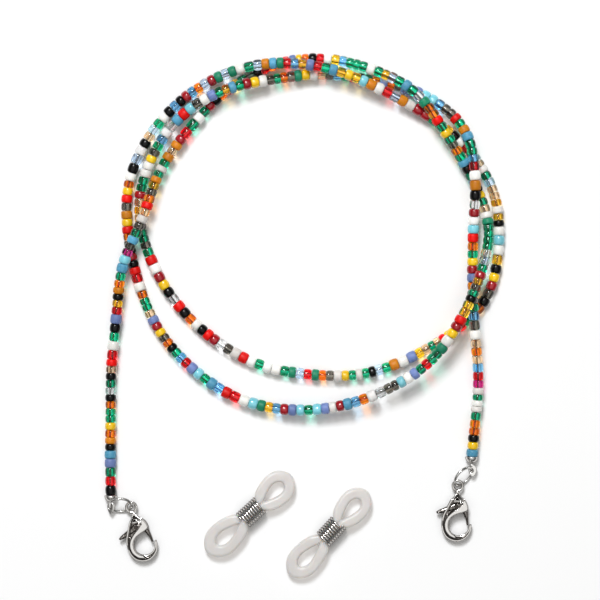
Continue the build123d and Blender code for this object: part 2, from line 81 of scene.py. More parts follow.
PITCH = [
    1.99, 1.84, 1.74, 1.80, 1.63, 1.33, 1.30, 1.48, 1.53, 1.43, 1.40, 1.43, 1.37, 1.39, 1.50, 1.43, 1.30, 1.43, 1.78, 1.90,
    1.73, 1.78, 1.88, 1.54, 1.32, 1.33, 1.33, 1.40, 1.55, 1.83, 1.73, 1.33, 1.28, 1.53, 1.52, 1.49, 1.50, 1.43, 1.45, 1.43,
    1.40, 1.35, 1.28, 1.20, 1.20, 1.39, 1.52, 1.40, 1.40, 1.53, 1.95, 2.10, 1.78, 1.60, 1.68, 1.65, 1.62, 1.62, 1.70, 1.75,
    1.68, 1.63, 1.60, 1.50, 1.48, 1.48, 1.33, 1.19, 1.39, 1.54, 1.50, 1.58, 1.53, 1.48, 1.43, 1.30, 1.53, 1.73, 1.57, 1.44,
    1.54, 1.65, 1.60, 1.63, 1.65, 1.60, 1.50, 1.43, 1.53, 1.59, 1.49, 1.32, 1.30, 1.45, 1.48, 1.43, 1.48, 1.48, 1.48, 1.45,
    1.42, 1.47, 1.44, 1.33, 1.25, 1.28, 1.28, 1.28, 1.38, 1.60, 1.60, 1.49, 1.44, 1.29, 1.23, 1.20, 1.30, 1.53, 1.68, 1.65,
    1.48, 1.65, 1.99, 1.67, 1.34, 1.45, 1.50, 1.53, 1.55, 1.60, 1.55, 1.35, 1.53, 1.92, 1.84, 1.67, 1.73, 1.65, 1.50, 1.45,
    1.60, 1.73, 1.65, 1.63, 1.63, 1.59, 1.54, 1.53, 1.58, 1.80, 2.03, 1.95, 1.80, 1.75, 1.70, 1.60, 1.69, 1.74, 1.53, 1.35,
    1.33, 1.33, 1.23, 1.25, 1.40, 1.45, 1.48, 1.44, 1.34, 1.30, 1.50, 1.78, 1.68, 1.48, 1.40, 1.38, 1.38, 1.35, 1.37, 1.44,
    1.53, 1.60, 1.60, 1.58, 1.48, 1.38, 1.63, 1.98, 1.98, 1.74, 1.62, 1.60, 1.60, 1.60, 1.60, 1.63, 1.58, 1.48, 1.48, 1.48,
    1.47, 1.52, 1.55, 1.53, 1.45, 1.55, 1.83, 1.85, 1.63, 1.53, 1.50, 1.39, 1.44, 1.54, 1.53, 1.53, 1.58, 1.60, 1.63, 1.65,
    1.60, 1.55, 1.62, 1.77, 1.79, 1.78, 1.78, 1.75, 1.83, 1.90, 1.90, 1.85, 1.75, 1.72, 1.74, 1.72, 1.60, 1.40, 1.28, 1.25,
    1.33, 1.48, 1.50, 1.43, 1.42, 1.44, 1.44, 1.33, 1.33, 1.73, 1.98, 2.00, 1.93, 1.75, 1.75, 1.74, 1.72, 1.77, 1.75, 1.70,
    1.65, 1.60, 1.53, 1.43, 1.35, 1.30, 1.32, 1.39, 1.59, 1.90, 2.00, 1.83, 1.58, 1.43, 1.38, 1.35, 1.33, 1.35, 1.49, 1.59,
    1.53, 1.43, 1.48, 1.60, 1.58, 1.45, 1.63, 1.88, 1.75, 1.64, 1.72, 1.80, 1.80, 1.68, 1.63, 1.63, 1.58, 1.55, 1.58, 1.63,
    1.74, 1.79, 1.75, 1.73, 1.75, 1.88, 1.93, 1.83, 1.60, 1.35, 1.25, 1.32, 1.52, 1.63, 1.55, 1.55, 1.53, 1.43, 1.48, 1.60,
    1.55, 1.45, 1.44, 1.49, 1.58, 1.63, 1.70, 1.73, 1.73, 1.73, 1.70, 1.75, 1.68, 1.44, 1.37, 1.43, 1.48, 1.55, 1.68, 1.65,
    1.45, 1.35, 1.40, 1.43, 1.44, 1.59, 1.67, 1.55, 1.55, 1.63, 1.58, 1.55, 1.55, 1.55, 1.60, 1.62, 1.47, 1.34, 1.33, 1.35,
    1.63, 1.78, 1.65, 1.58, 1.48, 1.35, 1.34, 1.39, 1.52, 1.65, 1.58, 1.45, 1.48, 1.70, 1.95, 2.03, 1.93, 1.74, 1.59, 1.62,
    1.73, 1.75, 1.65, 1.50, 1.53, 1.63, 1.68, 1.60, 1.44, 1.42, 1.54, 1.75, 1.90, 1.90, 1.68, 1.53, 1.63, 1.75, 1.73, 1.49,
    1.34, 1.23, 1.20, 1.21, 1.53, 1.55, 1.43, 1.43, 1.50, 1.50,
]

GROUPS = {
    "K": ("beads_black_gloss", 2.20),
    "W": ("beads_white_gloss", 2.32),
    "Y": ("beads_yellow_gloss", 2.20),
    "R": ("beads_dark_red_gloss", 2.30),
    "T": ("beads_turquoise_gloss", 2.36),
    "o": ("beads_orange_clear", 2.14),
    "g": ("beads_teal_clear", 2.10),
    "r": ("beads_red_clear", 2.18),
    "k": ("beads_smoke_clear", 2.14),
    "b": ("beads_aqua_clear", 2.18),
    "a": ("beads_amber_clear", 2.14),
    "p": ("beads_champagne_clear", 2.12),
    "c": ("beads_crystal_clear", 2.16),
    "v": ("beads_ice_blue_clear", 2.22),
    "m": ("beads_magenta_clear", 2.16),
    "F": ("beads_red_frosted", 2.30),
    "S": ("beads_sky_frosted", 2.34),
    "P": ("beads_periwinkle_frosted", 2.30),
    "A": ("beads_amber_frosted", 2.24),
    "G": ("beads_green_frosted", 2.26),
    "H": ("beads_pearl_frosted", 2.28),
}


# ---------------------------------------------------------------- material helpers
def srgb(*c):
    return tuple(((v / 255.0) / 12.92 if v <= 10 else ((v / 255.0 + 0.055) / 1.055) ** 2.4) for v in c) + (1.0,)


def new_material(name):
    m = bpy.data.materials.new(name)
    m.use_nodes = True
    nt = m.node_tree
    nt.nodes.clear()
    out = nt.nodes.new("ShaderNodeOutputMaterial")
    bsdf = nt.nodes.new("ShaderNodeBsdfPrincipled")
    nt.links.new(bsdf.outputs[0], out.inputs[0])
    return m, nt, bsdf, out


def noise(nt, scale, detail=3.0, rough=0.55):
    tc = nt.nodes.new("ShaderNodeTexCoord")
    n = nt.nodes.new("ShaderNodeTexNoise")
    n.inputs["Scale"].default_value = scale
    n.inputs["Detail"].default_value = detail
    n.inputs["Roughness"].default_value = rough
    nt.links.new(tc.outputs["Object"], n.inputs["Vector"])
    return n.outputs["Fac"]


def ramp(nt, source, stops):
    r = nt.nodes.new("ShaderNodeValToRGB")
    el = r.color_ramp.elements
    while len(el) < len(stops):
        el.new(0.5)
    for e, (p, c) in zip(el, stops):
        e.position = p
        e.color = c
    nt.links.new(source, r.inputs["Fac"])
    return r.outputs["Color"]


def bump(nt, bsdf, source, strength, distance):
    b = nt.nodes.new("ShaderNodeBump")
    b.inputs["Strength"].default_value = strength
    b.inputs["Distance"].default_value = distance
    nt.links.new(source, b.inputs["Height"])
    nt.links.new(b.outputs["Normal"], bsdf.inputs["Normal"])


def scaled(c, k):
    return (min(1, c[0] * k), min(1, c[1] * k), min(1, c[2] * k), 1.0)


def tone_colour(nt, colour, low=0.72, high=1.25):
    """Each bead its own tone, with faint clouding inside it."""
    at = nt.nodes.new("ShaderNodeAttribute")
    at.attribute_name = "tone"
    mix = nt.nodes.new("ShaderNodeMix")
    mix.data_type = "FLOAT"
    nt.links.new(at.outputs["Fac"], mix.inputs["A"])
    nt.links.new(noise(nt, 900, 2), mix.inputs["B"])
    mix.inputs["Factor"].default_value = 0.3
    return ramp(nt, mix.outputs["Result"], [(0.15, scaled(colour, low)), (0.5, colour), (0.85, scaled(colour, high))])


def gloss_glass(name, colour, sss=0.0):
    m, nt, b, out = new_material(name)
    nt.links.new(tone_colour(nt, colour, 0.85, 1.1), b.inputs["Base Color"])
    b.inputs["Roughness"].default_value = 0.14
    b.inputs["IOR"].default_value = 1.52
    b.inputs["Coat Weight"].default_value = 0.5
    b.inputs["Coat Roughness"].default_value = 0.05
    if sss:
        b.inputs["Subsurface Weight"].default_value = sss
        b.inputs["Subsurface Radius"].default_value = (1.0, 0.9, 0.8)
        b.inputs["Subsurface Scale"].default_value = 0.0006
    bump(nt, b, noise(nt, 1400, 3), 0.25, 0.00006)
    return m


def clear_glass(name, colour, shade, rough=0.012):
    """Transparent glass. Rays from the lamps pass tinted, so its shadow is coloured."""
    m, nt, b, out = new_material(name)
    col = tone_colour(nt, colour)
    nt.links.new(col, b.inputs["Base Color"])
    b.inputs["Transmission Weight"].default_value = 1.0
    b.inputs["IOR"].default_value = 1.5
    b.inputs["Roughness"].default_value = rough
    bump(nt, b, noise(nt, 900, 2), 0.08, 0.00006)
    lp = nt.nodes.new("ShaderNodeLightPath")
    tr = nt.nodes.new("ShaderNodeBsdfTransparent")
    # a round bead gathers light along its middle and keeps it from its edges
    lw = nt.nodes.new("ShaderNodeLayerWeight")
    lw.inputs["Blend"].default_value = 0.5
    half = tuple(math.sqrt(v) for v in shade[:3])
    nt.links.new(ramp(nt, lw.outputs["Facing"], [(0.0, tuple(v * 1.35 for v in half) + (1,)), (0.25, tuple(v * 1.05 for v in half) + (1,)), (0.5, tuple(v * 0.55 for v in half) + (1,)), (0.9, tuple(v * 0.25 for v in half) + (1,))]), tr.inputs["Color"])
    mix = nt.nodes.new("ShaderNodeMixShader")
    nt.links.new(lp.outputs["Is Shadow Ray"], mix.inputs["Fac"])
    nt.links.new(b.outputs[0], mix.inputs[1])
    nt.links.new(tr.outputs[0], mix.inputs[2])
    nt.links.new(mix.outputs[0], out.inputs[0])
    return m


def painted_streak_glass(name, colour):
    """A rough, light strip of bore wall in a clear bead: a painted highlight standing for the light the bead gathers.
    """
    m, nt, b, out = new_material(name)
    light = tuple(0.40 + 0.60 * v for v in colour[:3]) + (1,)
    nt.links.new(ramp(nt, noise(nt, 2600, 3), [(0.3, scaled(light, 0.75)), (0.7, light)]), b.inputs["Base Color"])
    b.inputs["Roughness"].default_value = 0.5
    b.inputs["Specular IOR Level"].default_value = 0.2
    tr = nt.nodes.new("ShaderNodeBsdfTransparent")
    mix = nt.nodes.new("ShaderNodeMixShader")
    mix.inputs["Fac"].default_value = 0.12
    nt.links.new(b.outputs[0], mix.inputs[1])
    nt.links.new(tr.outputs[0], mix.inputs[2])
    nt.links.new(mix.outputs[0], out.inputs[0])
    return m


def frosted_glass(name, colour, trans=0.30):
    m, nt, b, out = new_material(name)
    nt.links.new(tone_colour(nt, colour, 0.82, 1.15), b.inputs["Base Color"])
    b.inputs["Transmission Weight"].default_value = trans
    b.inputs["IOR"].default_value = 1.45
    b.inputs["Roughness"].default_value = 0.42
    b.inputs["Specular IOR Level"].default_value = 0.30
    b.inputs["Subsurface Weight"].default_value = 0.55
    b.inputs["Subsurface Radius"].default_value = (1.0, 0.9, 0.9)
    b.inputs["Subsurface Scale"].default_value = 0.0005
    bump(nt, b, noise(nt, 5200, 4, 0.7), 0.35, 0.00004)
    return m


def metal(name, colour, rough, wear=0.10, scale=1500, painted_reflection=False):
    """Plated metal, its colour darkened towards grazing angles as painted shade; with the flag set it also multiplies
    in painted reflections and painted shade from its tone attribute.
    """
    m, nt, b, out = new_material(name)
    col = ramp(nt, noise(nt, scale, 4), [(0.25, scaled(colour, 0.90)), (0.75, colour)])
    # painted shade: the colour darkens towards grazing angles, standing in for the dark surroundings reflected there
    lw = nt.nodes.new("ShaderNodeLayerWeight")
    lw.inputs["Blend"].default_value = 0.5
    shade = ramp(nt, lw.outputs["Facing"], [(0.0, (1, 1, 1, 1)), (0.35, (0.90, 0.89, 0.88, 1)), (0.62, (0.50, 0.48, 0.465, 1)), (0.9, (0.20, 0.19, 0.18, 1))])

    def times(x, y):
        mx = nt.nodes.new("ShaderNodeMix")
        mx.data_type = "RGBA"
        mx.blend_type = "MULTIPLY"
        mx.inputs[0].default_value = 1.0
        nt.links.new(x, mx.inputs[6])
        nt.links.new(y, mx.inputs[7])
        return mx.outputs[2]

    col = times(col, shade)
    if painted_reflection:
        # painted reflections and shade: the tone attribute lightens or darkens the plating colour from place to place
        at = nt.nodes.new("ShaderNodeAttribute")
        at.attribute_name = "tone"
        col = times(col, ramp(nt, at.outputs["Fac"], [(0.0, (0.09, 0.080, 0.073, 1)), (0.5, (0.44, 0.42, 0.405, 1)), (1.0, (1, 1, 1, 1))]))
    nt.links.new(col, b.inputs["Base Color"])
    b.inputs["Metallic"].default_value = 1.0
    b.inputs["Specular Tint"].default_value = (0.5, 0.49, 0.48, 1)
    r = ramp(nt, noise(nt, scale * 2.2, 3), [(0.3, (rough, rough, rough, 1)), (0.8, (rough + wear, rough + wear, rough + wear, 1))])
    nt.links.new(r, b.inputs["Roughness"])
    bump(nt, b, noise(nt, scale * 0.6, 2), 0.12, 0.00005)
    return m


MAT = {
    "K": gloss_glass("glass_black", srgb(8, 8, 9)),
    "W": gloss_glass("glass_white", srgb(246, 244, 238), 0.25),
    "Y": gloss_glass("glass_yellow", srgb(248, 200, 16), 0.15),
    "R": gloss_glass("glass_dark_red", srgb(158, 10, 26), 0.1),
    "T": gloss_glass("glass_turquoise", srgb(128, 206, 220), 0.2),
    "o": clear_glass("glass_orange_clear", srgb(255, 140, 12), (1.0, 0.62, 0.35, 1)),
    "g": clear_glass("glass_teal_clear", srgb(0, 168, 120), (0.42, 0.88, 0.74, 1)),
    "r": clear_glass("glass_red_clear", srgb(226, 10, 22), (0.95, 0.42, 0.40, 1)),
    "k": clear_glass("glass_smoke_clear", srgb(112, 107, 98), (0.58, 0.57, 0.55, 1)),
    "b": clear_glass("glass_aqua_clear", srgb(120, 190, 232), (0.62, 0.80, 0.92, 1)),
    "a": clear_glass("glass_amber_clear", srgb(252, 196, 40), (1.0, 0.84, 0.45, 1)),
    "p": clear_glass("glass_champagne_clear", srgb(238, 208, 172), (0.94, 0.86, 0.76, 1)),
    "c": clear_glass("glass_crystal_clear", srgb(240, 242, 242), (0.88, 0.89, 0.90, 1)),
    "v": clear_glass("glass_ice_blue_clear", srgb(206, 224, 242), (0.80, 0.86, 0.93, 1)),
    "m": clear_glass("glass_magenta_clear", srgb(205, 40, 140), (0.85, 0.45, 0.75, 1)),
    "F": frosted_glass("glass_red_frosted", srgb(236, 14, 8), 0.10),
    "S": frosted_glass("glass_sky_frosted", srgb(104, 184, 218)),
    "P": frosted_glass("glass_periwinkle_frosted", srgb(134, 156, 212)),
    "A": frosted_glass("glass_amber_frosted", srgb(236, 150, 26)),
    "G": frosted_glass("glass_green_frosted", srgb(36, 156, 118)),
    "H": frosted_glass("glass_pearl_frosted", srgb(250, 244, 238), 0.22),
}
for nd in MAT["K"].node_tree.nodes:
    if nd.type == "BSDF_PRINCIPLED":
        nd.inputs["Specular IOR Level"].default_value = 0.2
        nd.inputs["Coat Weight"].default_value = 0.08
# light colours of the painted highlight strip inside each clear bead
PAINTED_STREAK_COLOUR = {"o": srgb(255, 140, 50), "g": srgb(150, 255, 220), "r": srgb(240, 60, 50), "k": srgb(205, 200, 180), "b": srgb(170, 215, 240), "a": srgb(255, 215, 100), "p": srgb(245, 225, 195), "c": srgb(245, 245, 245), "v": srgb(220, 232, 245), "m": srgb(225, 70, 150)}
CHROME = metal("metal_plated", (0.86, 0.86, 0.85, 1), 0.07, 0.08)
CAST = metal("metal_cast", (0.88, 0.865, 0.85, 1), 0.07, 0.08, painted_reflection=True)
SHEET = metal("metal_sheet", (0.92, 0.91, 0.895, 1), 0.20, 0.10)
STEEL = metal("spring_steel", (0.84, 0.82, 0.80, 1), 0.10, 0.10, 2600, painted_reflection=True)

THREAD, nt, b, out = new_material("thread_nylon")
w = nt.nodes.new("ShaderNodeTexWave")
w.inputs["Scale"].default_value = 2400
w.inputs["Distortion"].default_value = 2.0
tc = nt.nodes.new("ShaderNodeTexCoord")
nt.links.new(tc.outputs["Object"], w.inputs["Vector"])
nt.links.new(ramp(nt, w.outputs["Fac"], [(0.2, (0.05, 0.046, 0.042, 1)), (0.8, (0.16, 0.15, 0.14, 1))]), b.inputs["Base Color"])
b.inputs["Roughness"].default_value = 0.55
bump(nt, b, w.outputs["Fac"], 0.5, 0.00005)

SILICONE, nt, b, out = new_material("silicone_clear")
nt.links.new(ramp(nt, noise(nt, 220, 3), [(0.3, (0.71, 0.69, 0.672, 1)), (0.7, (0.775, 0.76, 0.745, 1))]), b.inputs["Base Color"])
b.inputs["Roughness"].default_value = 0.34
b.inputs["IOR"].default_value = 1.42
b.inputs["Transmission Weight"].default_value = 0.22
b.inputs["Subsurface Weight"].default_value = 0.85
b.inputs["Subsurface Radius"].default_value = (1.0, 0.82, 0.66)
b.inputs["Subsurface Scale"].default_value = 0.0016
b.inputs["Coat Weight"].default_value = 0.15
b.inputs["Coat Roughness"].default_value = 0.18
bump(nt, b, noise(nt, 1500, 4), 0.18, 0.00005)
lp = nt.nodes.new("ShaderNodeLightPath")
tr = nt.nodes.new("ShaderNodeBsdfTransparent")
nt.links.new(ramp(nt, noise(nt, 300, 2), [(0.3, (0.43, 0.405, 0.385, 1)), (0.7, (0.47, 0.445, 0.425, 1))]), tr.inputs["Color"])
mix = nt.nodes.new("ShaderNodeMixShader")
nt.links.new(lp.outputs["Is Shadow Ray"], mix.inputs["Fac"])
nt.links.new(b.outputs[0], mix.inputs[1])
nt.links.new(tr.outputs[0], mix.inputs[2])
nt.links.new(mix.outputs[0], out.inputs[0])


# ---------------------------------------------------------------- mesh helpers
def add_object(name, verts, faces, material, smooth=True, tone=None, second=None, index=None):
    me = bpy.data.meshes.new(name)
    verts = np.asarray(verts, float)
    faces = np.asarray(faces, np.int64)
    k = faces.shape[1]
    me.vertices.add(len(verts))
    me.vertices.foreach_set("co", verts.astype(np.float32).ravel())
    me.loops.add(faces.size)
    me.loops.foreach_set("vertex_index", faces.astype(np.int32).ravel())
    me.polygons.add(len(faces))
    me.polygons.foreach_set("loop_start", (np.arange(len(faces)) * k).astype(np.int32))
    me.polygons.foreach_set("loop_total", np.full(len(faces), k, np.int32))
    me.update(calc_edges=True)
    me.validate()
    me.polygons.foreach_set("use_smooth", [smooth] * len(me.polygons))
    if tone is not None:
        a = me.attributes.new("tone", "FLOAT", "POINT")
        a.data.foreach_set("value", np.asarray(tone, np.float32))
    me.materials.append(material)
    if second is not None:
        me.materials.append(second)
        me.polygons.foreach_set("material_index", np.asarray(index, np.int32))
    ob = bpy.data.objects.new(name, me)
    scene.collection.objects.link(ob)
    return ob


def grid_faces(rows, cols, close_rows=True, close_cols=True, base=0):
    r = np.arange(rows if close_rows else rows - 1)
    c = np.arange(cols if close_cols else cols - 1)
    R, C = np.meshgrid(r, c, indexing="ij")
    a = R * cols + C
    b_ = R * cols + (C + 1) % cols
    c_ = ((R + 1) % rows) * cols + (C + 1) % cols
    d = ((R + 1) % rows) * cols + C
    return np.stack([a, b_, c_, d], -1).reshape(-1, 4) + base


def frames_along(P):
    T = np.gradient(P, axis=0)
    T /= np.linalg.norm(T, axis=1)[:, None]
    up = np.array([0.0, 0.0, 1.0])
    if abs(T[0] @ up) > 0.9:
        up = np.array([1.0, 0.0, 0.0])
    N = np.zeros_like(T)
    n = np.cross(T[0], up)
    for i in range(len(T)):
        n = n - T[i] * (n @ T[i])
        n /= np.linalg.norm(n)
        N[i] = n
    return T, N, np.cross(T, N)


def wire(P, r, sides=16, r_end=None):
    """A round wire along points P (mm), with rounded ends, as vertices and faces."""
    T, N, B = frames_along(P)
    ang = np.linspace(0, 2 * np.pi, sides, endpoint=False)
    rr = np.full(len(P), r)
    rings, cen = [], []
    for k in (0.15, 0.45, 0.72, 0.9):
        rings.append((P[0] - T[0] * r * 0.55 * math.sqrt(1 - k * k), N[0], B[0], r * k))
    for p, n, b2, q in zip(P, N, B, rr):
        rings.append((p, n, b2, q))
    for k in (0.9, 0.72, 0.45, 0.15):
        rings.append((P[-1] + T[-1] * r * 0.55 * math.sqrt(1 - k * k), N[-1], B[-1], r * k))
    V = np.array([[p + q * (math.cos(a) * n + math.sin(a) * b2) for a in ang] for p, n, b2, q in rings]).reshape(-1, 3)
    F = grid_faces(len(rings), sides, close_rows=False)
    last = (len(rings) - 1) * sides
    h = sides // 2 - 1
    start = [[sides - 1 - i, sides - 2 - i, i + 1, i] for i in range(h)]
    end = [[last + i, last + i + 1, last + sides - 2 - i, last + sides - 1 - i] for i in range(h)]
    return V, np.vstack([F, start, end])


def nets(f, lo, hi, h, polish=2):
    """Surface of f = 0 inside the box lo..hi, cells of size h (mm)."""
    xs, ys, zs = [np.arange(lo[i] - h, hi[i] + 1.5 * h, h) for i in range(3)]
    X, Y, Z = np.meshgrid(xs, ys, zs, indexing="ij")
    V = f(X, Y, Z)
    nx, ny, nz = V.shape
    S = V < 0
    cells = (nx - 1, ny - 1, nz - 1)
    corner = [(i, j, k) for i in (0, 1) for j in (0, 1) for k in (0, 1)]

    def sub(A, c):
        return A[c[0]:c[0] + nx - 1, c[1]:c[1] + ny - 1, c[2]:c[2] + nz - 1]

    acc = np.zeros(cells + (3,))
    cnt = np.zeros(cells)
    for a in range(8):
        for c in range(a + 1, 8):
            ca, cb = corner[a], corner[c]
            if sum(abs(ca[q] - cb[q]) for q in range(3)) != 1:
                continue
            va, vb = sub(V, ca), sub(V, cb)
            m = (va < 0) != (vb < 0)
            t = np.where(m, va / np.where(m, va - vb, 1), 0)
            for q in range(3):
                acc[..., q] += np.where(m, ca[q] + t * (cb[q] - ca[q]), 0)
            cnt += m
    mask = cnt > 0
    idx = np.full(cells, -1, np.int64)
    idx[mask] = np.arange(mask.sum())
    I, J, K = np.nonzero(mask)
    P = acc[mask] / cnt[mask][:, None]
    P = np.stack([xs[0] + (I + P[:, 0]) * h, ys[0] + (J + P[:, 1]) * h, zs[0] + (K + P[:, 2]) * h], 1)
    faces = []
    for ax in range(3):
        u, v = (ax + 1) % 3, (ax + 2) % 3
        sl_a = [slice(1, n - 1) for n in V.shape]
        sl_b = [slice(1, n - 1) for n in V.shape]
        sl_a[ax] = slice(0, V.shape[ax] - 1)
        sl_b[ax] = slice(1, V.shape[ax])
        A, Bv = S[tuple(sl_a)], S[tuple(sl_b)]
        E = np.argwhere(A != Bv)
        off = np.array([1, 1, 1])
        off[ax] = 0
        G = E + off
        du, dv = np.zeros(3, int), np.zeros(3, int)
        du[u], dv[v] = 1, 1
        q = [G - du - dv, G - dv, G, G - du]
        Q = np.stack([idx[g[:, 0], g[:, 1], g[:, 2]] for g in q], 1)
        inside_first = A[tuple(E.T)]
        Q[~inside_first] = Q[~inside_first][:, ::-1]
        faces.append(Q)
    F = np.vstack(faces)
    F = F[(F >= 0).all(1)]
    e = h * 0.25
    for _ in range(polish):
        d = f(P[:, 0], P[:, 1], P[:, 2])
        g = np.stack([
            f(P[:, 0] + e, P[:, 1], P[:, 2]) - f(P[:, 0] - e, P[:, 1], P[:, 2]),
            f(P[:, 0], P[:, 1] + e, P[:, 2]) - f(P[:, 0], P[:, 1] - e, P[:, 2]),
            f(P[:, 0], P[:, 1], P[:, 2] + e) - f(P[:, 0], P[:, 1], P[:, 2] - e)], 1) / (2 * e)
        g2 = (g * g).sum(1)
        step = -(d / np.maximum(g2, 0.05))[:, None] * g
        n = np.linalg.norm(step, axis=1)
        step *= np.minimum(1, 0.4 * h / np.maximum(n, 1e-9))[:, None]
        P = P + step
    return P, F


def smooth_line(pts, n=10, closed=False):
    """Catmull-Rom through pts."""
    pts = np.asarray(pts, float)
    m = len(pts)
    out = []
    for i in range(m if closed else m - 1):
        if closed:
            p0, p1, p2, p3 = pts[i - 1], pts[i], pts[(i + 1) % m], pts[(i + 2) % m]
        else:
            p0, p1, p2, p3 = pts[max(i - 1, 0)], pts[i], pts[i + 1], pts[min(i + 2, m - 1)]
        for t in np.linspace(0, 1, n, endpoint=False):
            out.append(0.5 * ((2 * p1) + (-p0 + p2) * t + (2 * p0 - 5 * p1 + 4 * p2 - p3) * t * t + (-p0 + 3 * p1 - 3 * p2 + p3) * t ** 3))
    if not closed:
        out.append(pts[-1])
    return np.array(out)


class Field2D:
    """A plane function kept on a fine grid and read between its points."""

    def __init__(self, fn, lo, hi, h=0.03):
        self.lo, self.h = np.array(lo, float), h
        xs = np.arange(lo[0], hi[0] + h, h)
        ys = np.arange(lo[1], hi[1] + h, h)
        X, Y = np.meshgrid(xs, ys, indexing="ij")
        self.V = fn(X.ravel(), Y.ravel()).reshape(X.shape)

    def __call__(self, x, y):
        u = np.clip((x - self.lo[0]) / self.h, 0, self.V.shape[0] - 1.001)
        v = np.clip((y - self.lo[1]) / self.h, 0, self.V.shape[1] - 1.001)
        i, j = u.astype(int), v.astype(int)
        a, b_ = u - i, v - j
        V = self.V
        return (V[i, j] * (1 - a) * (1 - b_) + V[i + 1, j] * a * (1 - b_) + V[i, j + 1] * (1 - a) * b_ + V[i + 1, j + 1] * a * b_)


def seg_dist(x, y, pts, closed=False):
    """Distance to a polyline, and how far along it (0..1) the nearest point is."""
    best = np.full(x.shape, 1e9)
    along = np.zeros(x.shape)
    n = len(pts)
    m = n if closed else n - 1
    for i in range(m):
        a, c = pts[i], pts[(i + 1) % n]
        ab = c - a
        L = ab @ ab
        if L < 1e-12:
            continue
        t = np.clip(((x - a[0]) * ab[0] + (y - a[1]) * ab[1]) / L, 0, 1)
        d = np.hypot(x - a[0] - t * ab[0], y - a[1] - t * ab[1])
        k = d < best
        best = np.where(k, d, best)
        along = np.where(k, (i + t) / m, along)
    return best, along


def poly_sdf(x, y, pts):
    d, _ = seg_dist(x, y, pts, True)
    inside = np.zeros(x.shape, bool)
    n = len(pts)
    for i in range(n):
        a, c = pts[i], pts[(i + 1) % n]
        if a[1] == c[1]:
            continue
        cross = ((a[1] > y) != (c[1] > y)) & (x < (c[0] - a[0]) * (y - a[1]) / (c[1] - a[1]) + a[0])
        inside ^= cross
    return np.where(inside, -d, d)


def smin(a, b_, k):
    h = np.clip(0.5 + 0.5 * (b_ - a) / k, 0, 1)
    return b_ * (1 - h) + a * h - k * h * (1 - h)


def smax(a, b_, k):
    return -smin(-a, -b_, k)


def place(P, origin, deg):
    a = math.radians(deg)
    c, s = math.cos(a), math.sin(a)
    Q = np.empty_like(P)
    Q[:, 0] = (c * P[:, 0] - s * P[:, 1] + origin[0]) * MM
    Q[:, 1] = (s * P[:, 0] + c * P[:, 1] + origin[1]) * MM
    Q[:, 2] = (P[:, 2] + origin[2]) * MM
    return Q


# ---------------------------------------------------------------- thread: the free cord
curve = bpy.data.curves.new("thread_line", "CURVE")
curve.dimensions = "3D"
curve.resolution_u = 24
sp = curve.splines.new("NURBS")
sp.points.add(len(ROUTE) - 1)
for p, (x, y, z) in zip(sp.points, ROUTE):
    p.co = ((x + DX) * MM, (y + DY) * MM, z * MM, 1.0)
sp.order_u = 3
sp.use_endpoint_u = True
thread = bpy.data.objects.new("strand_thread", curve)
scene.collection.objects.link(thread)
bpy.context.view_layer.update()
line_mesh = bpy.data.meshes.new_from_object(thread)
LINE = np.array([v.co for v in line_mesh.vertices], float) / MM
bpy.data.meshes.remove(line_mesh)
curve.bevel_depth = 0.225 * MM
curve.bevel_resolution = 3
curve.use_fill_caps = True
curve.materials.append(THREAD)
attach(thread, "root")
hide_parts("thread")
STEP = np.linalg.norm(np.diff(LINE, axis=0), axis=1)
S_AT = np.concatenate([[0], np.cumsum(STEP)])
LENGTH = float(S_AT[-1])
print("strand line length mm", round(LENGTH, 2), "points", len(LINE))


def on_line(s):
    p = np.array([np.interp(s, S_AT, LINE[:, q]) for q in range(3)])
    a = np.array([np.interp(max(0, s - 0.35), S_AT, LINE[:, q]) for q in range(3)])
    c = np.array([np.interp(min(LENGTH, s + 0.35), S_AT, LINE[:, q]) for q in range(3)])
    t = c - a
    return p, t / np.linalg.norm(t)


# ---------------------------------------------------------------- beads
SIDES = 30
PROFILE = 22


def bead_mesh(od, length, n, squash, kind):
    """A drawn-glass seed bead about its bore (local z), millimetres."""
    R, rb, hl = od / 2, 0.42, length / 2
    t = np.linspace(0, 2 * np.pi, PROFILE, endpoint=False) + 0.07
    ct, st = np.cos(t), np.sin(t)
    zz = hl * np.sign(ct) * np.abs(ct) ** (2 / n)
    rc, hr = (R + rb) / 2, (R - rb) / 2
    rr = rc + hr * np.sign(st) * np.abs(st) ** (2 / n)
    a = np.linspace(0, 2 * np.pi, SIDES, endpoint=False)
    ecc = 1 + squash * np.cos(2 * a)
    A = a[:, None]
    out = (rr[None] > rc)
    rad = np.where(out, rr[None] * ecc[:, None], rr[None])
    X = rad * np.cos(A)
    Y = rad * np.sin(A)
    Z = np.broadcast_to(zz[None], X.shape).copy()
    return np.stack([X, Y, Z], -1).reshape(-1, 3)


